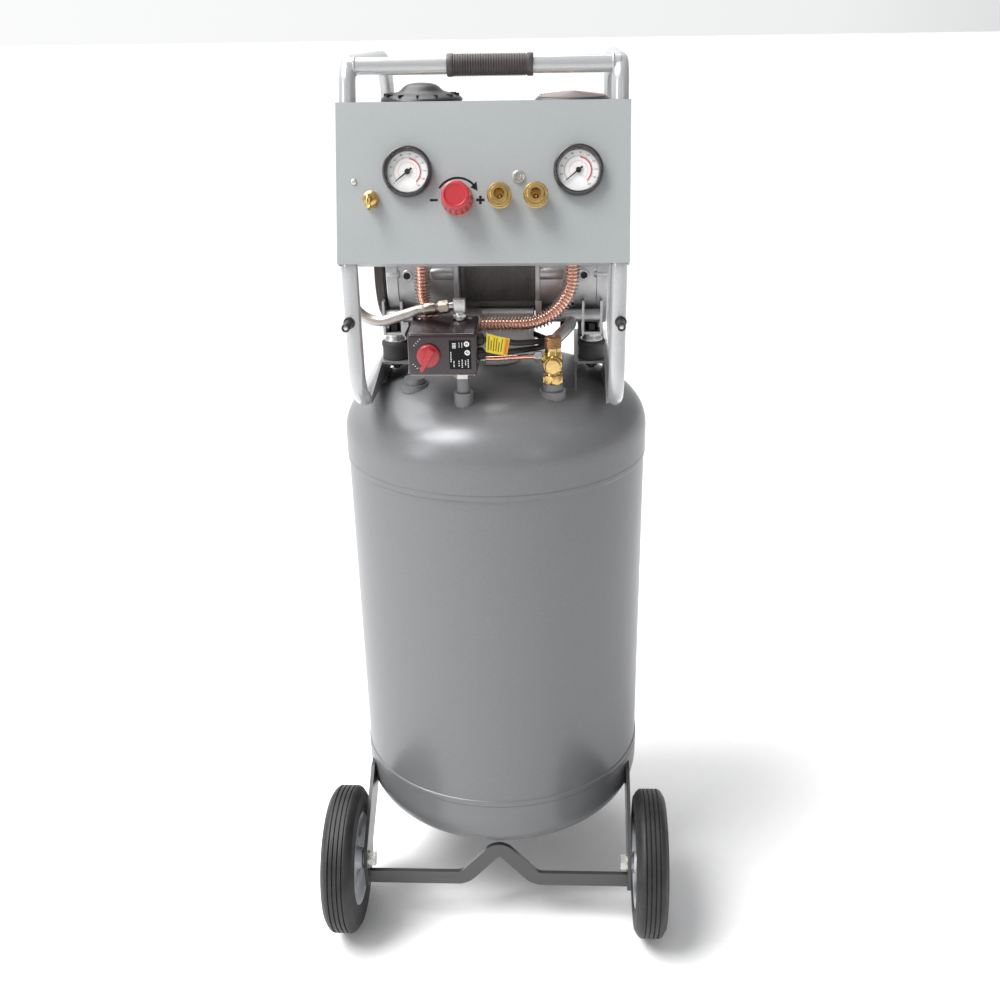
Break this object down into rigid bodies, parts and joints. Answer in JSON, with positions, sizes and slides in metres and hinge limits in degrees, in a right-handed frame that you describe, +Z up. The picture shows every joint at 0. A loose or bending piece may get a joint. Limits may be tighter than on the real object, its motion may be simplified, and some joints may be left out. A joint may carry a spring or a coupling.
{
  "type": "air compressor",
  "caption": "Upright wheeled air tank carrying a motor-driven piston pump inside a tubular frame, with a pressure switch and a sloping panel of gauges, regulator and quick couplers.",
  "frame": {"origin": "on the floor under the middle of the object's box", "axes": "+X to the right facing the panel, +Y to the back, +Z up; the panel and the wheels are on the -Y side"},
  "size_m": [0.4732, 0.5052, 1.1563],
  "materials": {
    "tank_paint": "silver-grey gloss with a fine metallic flake",
    "frame_paint": "light grey gloss",
    "panel_paint": "pale grey fine texture",
    "grip_rubber": "matt ribbed",
    "black_rubber": "matt",
    "black_plastic": "moulded",
    "gauge_plastic": "plum-black gloss",
    "dial_face": "printed white",
    "clear_lens": "clear",
    "needle_black": "matt black",
    "brass": "machined",
    "red_plastic": "moulded red",
    "switch_plastic": "plum-black gloss",
    "zinc_steel": "zinc plated",
    "braid_steel": "woven stainless wire",
    "copper": "drawn copper",
    "pipe_steel": "plated",
    "motor_black": "satin black",
    "shaft_steel": "ground",
    "cast_aluminium": "die cast",
    "box_plastic": "moulded light grey",
    "bolt_black": "black oxide",
    "tyre_rubber": "solid rubber",
    "hub_paint": "grey enamel",
    "cable_black": "round cable sheath"
  },
  "bodies": {
    "frame": {"tank_shell": "tank_paint", "top_head": "tank_paint", "bottom_head": "tank_paint", "tank_bosses": "tank_paint", "weld_beads": "tank_paint", "left_frame_loop": "frame_paint", "right_frame_loop": "frame_paint", "handle_bar": "frame_paint", "mount_rails": "tank_paint", "axle_bracket": "frame_paint", "rear_foot_bracket": "frame_paint", "handle_grip": "grip_rubber", "vibration_mounts": "black_rubber", "rubber_feet": "black_rubber", "frame_pegs": "black_plastic", "control_panel": "panel_paint", "panel_screws": "zinc_steel", "gauge_cases": "gauge_plastic", "gauge_dials": "dial_face", "gauge_lenses": "clear_lens", "coupler_bodies": "brass", "regulator_body": "brass", "safety_valve_body": "brass", "outlet_manifold": "brass", "switch_base": "zinc_steel", "switch_cover": "switch_plastic", "cable_glands": "black_plastic", "hose_fittings": "zinc_steel", "braided_hose": "braid_steel", "check_valve": "brass", "unloader_tube": "copper", "discharge_pipe": "pipe_steel", "finned_tubes": "copper", "tube_fittings": "brass", "motor_stator": "motor_black", "shaft_bearings": "shaft_steel", "crankcases": "cast_aluminium", "pump_cylinders": "cast_aluminium", "cylinder_heads": "cast_aluminium", "pistons": "cast_aluminium", "intake_filters": "black_plastic", "terminal_box": "box_plastic", "mount_bolts": "bolt_black", "axle_bolts": "zinc_steel", "drain_valve_body": "brass", "motor_leads": "cable_black"},
    "left_wheel": {"left_tyre": "tyre_rubber", "left_hub": "hub_paint"},
    "right_wheel": {"right_tyre": "tyre_rubber", "right_hub": "hub_paint"},
    "motor_shaft": {"motor_rotor": "shaft_steel", "cooling_fan": "black_plastic"},
    "regulator_knob": {"regulator_knob": "red_plastic"},
    "switch_knob": {"switch_knob": "red_plastic"},
    "left_gauge_needle": {"left_gauge_needle": "needle_black"},
    "right_gauge_needle": {"right_gauge_needle": "needle_black"},
    "safety_valve_ring": {"safety_valve_ring": "brass"},
    "left_coupler_sleeve": {"left_coupler_sleeve": "brass"},
    "right_coupler_sleeve": {"right_coupler_sleeve": "brass"},
    "drain_valve_lever": {"drain_valve_lever": "red_plastic"}
  },
  "joints": [
    {"name": "left_wheel_spin", "type": "hinge", "parent": "frame", "child": "left_wheel", "pos_m": [-0.2141, -0.15015, 0.1024], "axis": [1, 0, 0], "continuous": true},
    {"name": "right_wheel_spin", "type": "hinge", "parent": "frame", "child": "right_wheel", "pos_m": [0.2141, -0.15015, 0.1024], "axis": [1, 0, 0], "continuous": true},
    {"name": "motor_spin", "type": "hinge", "parent": "frame", "child": "motor_shaft", "pos_m": [0.007, 0.07305, 0.9], "axis": [1, 0, 0], "continuous": true},
    {"name": "regulator_turn", "type": "hinge", "parent": "frame", "child": "regulator_knob", "pos_m": [-0.028, -0.14297, 1.01314], "axis": [0, 0.9415, -0.3371], "range_deg": [0, 1440]},
    {"name": "switch_turn", "type": "hinge", "parent": "frame", "child": "switch_knob", "pos_m": [-0.069, -0.12495, 0.828], "axis": [0, 1, 0], "range_deg": [0, 90]},
    {"name": "left_gauge_sweep", "type": "hinge", "parent": "frame", "child": "left_gauge_needle", "pos_m": [-0.084, -0.11746, 1.03694], "axis": [0, 0.9415, -0.3371], "range_deg": [0, 270], "stiffness_Nm_per_rad": 0.0005},
    {"name": "right_gauge_sweep", "type": "hinge", "parent": "frame", "child": "right_gauge_needle", "pos_m": [0.107, -0.11746, 1.03694], "axis": [0, 0.9415, -0.3371], "range_deg": [0, 270], "stiffness_Nm_per_rad": 0.0005},
    {"name": "safety_ring_pull", "type": "slide", "parent": "frame", "child": "safety_valve_ring", "axis": [0, -0.9415, 0.3371], "range_m": [0, 0.003], "stiffness_N_per_m": 400},
    {"name": "left_sleeve_slide", "type": "slide", "parent": "frame", "child": "left_coupler_sleeve", "axis": [0, 0.9415, -0.3371], "range_m": [0, 0.005], "stiffness_N_per_m": 800},
    {"name": "right_sleeve_slide", "type": "slide", "parent": "frame", "child": "right_coupler_sleeve", "axis": [0, 0.9415, -0.3371], "range_m": [0, 0.005], "stiffness_N_per_m": 800},
    {"name": "drain_turn", "type": "hinge", "parent": "frame", "child": "drain_valve_lever", "pos_m": [0, 0.05105, 0.06], "axis": [0, 1, 0], "range_deg": [0, 90]}
  ]
}
